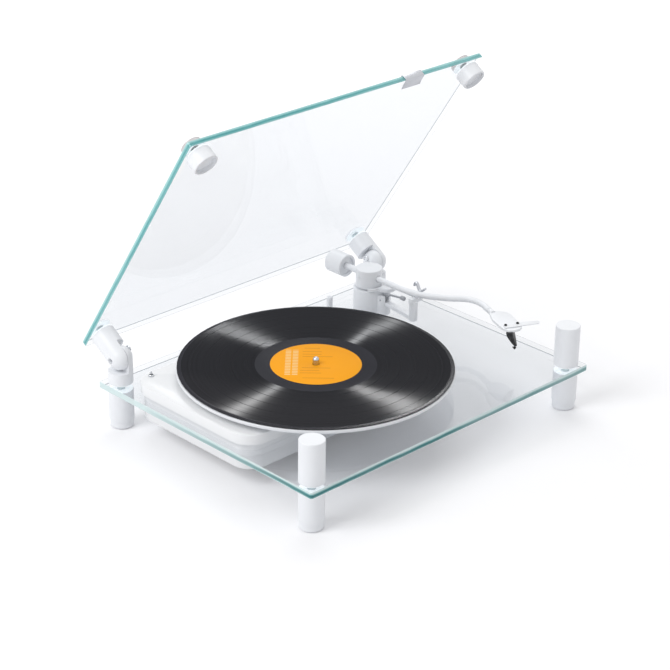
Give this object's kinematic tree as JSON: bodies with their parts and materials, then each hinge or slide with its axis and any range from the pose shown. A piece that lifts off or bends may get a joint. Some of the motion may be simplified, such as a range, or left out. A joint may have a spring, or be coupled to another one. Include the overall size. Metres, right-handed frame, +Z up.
{
  "type": "turntable",
  "caption": "Turntable on a glass plate with round posts, a hinged glass lid held open, a belt-driven platter with a record, and an S-shaped tonearm with a cue lift.",
  "frame": {"origin": "centre of the overall box in plan, on the floor under the feet", "axes": "+X to the right along the front edge, +Y to the rear where the hinges are, +Z up"},
  "size_m": [0.426, 0.3628, 0.3739],
  "materials": {
    "white_paint": "satin",
    "white_shell": "satin",
    "base_glass": "polished",
    "lid_glass": "polished",
    "chrome": "polished",
    "steel": "turned",
    "vinyl": "grooved",
    "black_plastic": "moulded",
    "brass": "turned",
    "belt_rubber": "ground",
    "board_laminate": "coated",
    "clip_metal": "brushed"
  },
  "bodies": {
    "base": {"arm_lead_post": "white_paint", "arm_pedestal": "white_paint", "base_glass": "base_glass", "bearing_bush": "brass", "circuit_board": "board_laminate", "deck_shell": "white_shell", "drive_belt": "belt_rubber", "earth_terminal": "brass", "hinge_bolt_left": "chrome", "hinge_bolt_right": "chrome", "hinge_post_left": "white_paint", "hinge_post_right": "white_paint", "leg_front_left": "white_paint", "leg_front_right": "white_paint", "leg_rear_left": "white_paint", "leg_rear_right": "white_paint", "motor": "black_plastic", "pedestal_bolt": "steel", "post_front_left": "white_paint", "post_front_right": "white_paint", "power_inlet": "black_plastic", "power_switch": "chrome", "rest_clip": "clip_metal", "signal_socket_left": "chrome", "signal_socket_right": "chrome", "tub": "white_shell", "tub_screw_front_left": "steel", "tub_screw_front_right": "steel", "tub_screw_rear_left": "steel", "tub_screw_rear_right": "steel"},
    "lid": {"lid_glass": "lid_glass", "lid_cap_front_left": "white_paint", "lid_cap_front_right": "white_paint", "lid_cap_rear_left": "white_paint", "lid_cap_rear_right": "white_paint", "bumper_left": "white_paint", "bumper_right": "white_paint", "hinge_clamp_left": "white_paint", "hinge_clamp_right": "white_paint", "finger_clip": "clip_metal"},
    "platter": {"platter": "white_paint", "record": "vinyl", "sub_platter": "white_shell", "spindle": "steel"},
    "rotor": {"motor_pulley": "brass"},
    "switch": {"switch_lever": "black_plastic"},
    "arm_swing": {"bearing_cup": "white_paint"},
    "arm": {"arm_housing": "white_paint", "arm_tube": "white_paint", "counterweight_rod": "white_paint", "headshell": "white_paint", "headshell_screw_left": "steel", "headshell_screw_right": "steel", "finger_lift": "white_paint", "cartridge": "black_plastic", "stylus": "black_plastic"},
    "weight": {"counterweight": "white_paint"},
    "lift": {"lift_platform": "white_paint"},
    "lever": {"cue_lever": "black_plastic"}
  },
  "joints": [
    {"name": "lid_hinge", "type": "hinge", "parent": "base", "child": "lid", "pos_m": [0, 0.13734, 0.082], "axis": [-1, 0, 0], "range_deg": [-57.05, 12]},
    {"name": "platter_spin", "type": "hinge", "parent": "base", "child": "platter", "pos_m": [-0.0447, -0.01176, 0.054], "axis": [0, 0, 1], "continuous": true},
    {"name": "pulley_spin", "type": "hinge", "parent": "base", "child": "rotor", "pos_m": [-0.1447, -0.01176, 0.054], "axis": [0, 0, 1], "continuous": true},
    {"name": "switch_toggle", "type": "hinge", "parent": "base", "child": "switch", "pos_m": [-0.178, 0.10674, 0.0639], "axis": [1, 0, 0], "range_deg": [-12, 12]},
    {"name": "arm_swing", "type": "hinge", "parent": "base", "child": "arm_swing", "pos_m": [0.136, 0.08774, 0.0971], "axis": [0, 0, -1], "range_deg": [0, 46]},
    {"name": "arm_pitch", "type": "hinge", "parent": "arm_swing", "child": "arm", "pos_m": [0.136, 0.08774, 0.0971], "axis": [-1, 0, 0], "range_deg": [0, 4.5]},
    {"name": "counterweight_slide", "type": "slide", "parent": "arm", "child": "weight", "axis": [0, 1, 0], "range_m": [-0.008, 0.0035]},
    {"name": "lift_slide", "type": "slide", "parent": "base", "child": "lift", "axis": [0, 0, 1], "range_m": [0, 0.0053]},
    {"name": "cue_lever_turn", "type": "hinge", "parent": "base", "child": "lever", "pos_m": [0.1406, 0.06674, 0.0725], "axis": [1, 0, 0], "range_deg": [0, 12.01]}
  ],
  "couplings": [
    {"joint": "pulley_spin", "follows": "platter_spin", "ratio": 7.2308},
    {"joint": "cue_lever_turn", "follows": "lift_slide", "rad_per_m": 39.517}
  ]
}
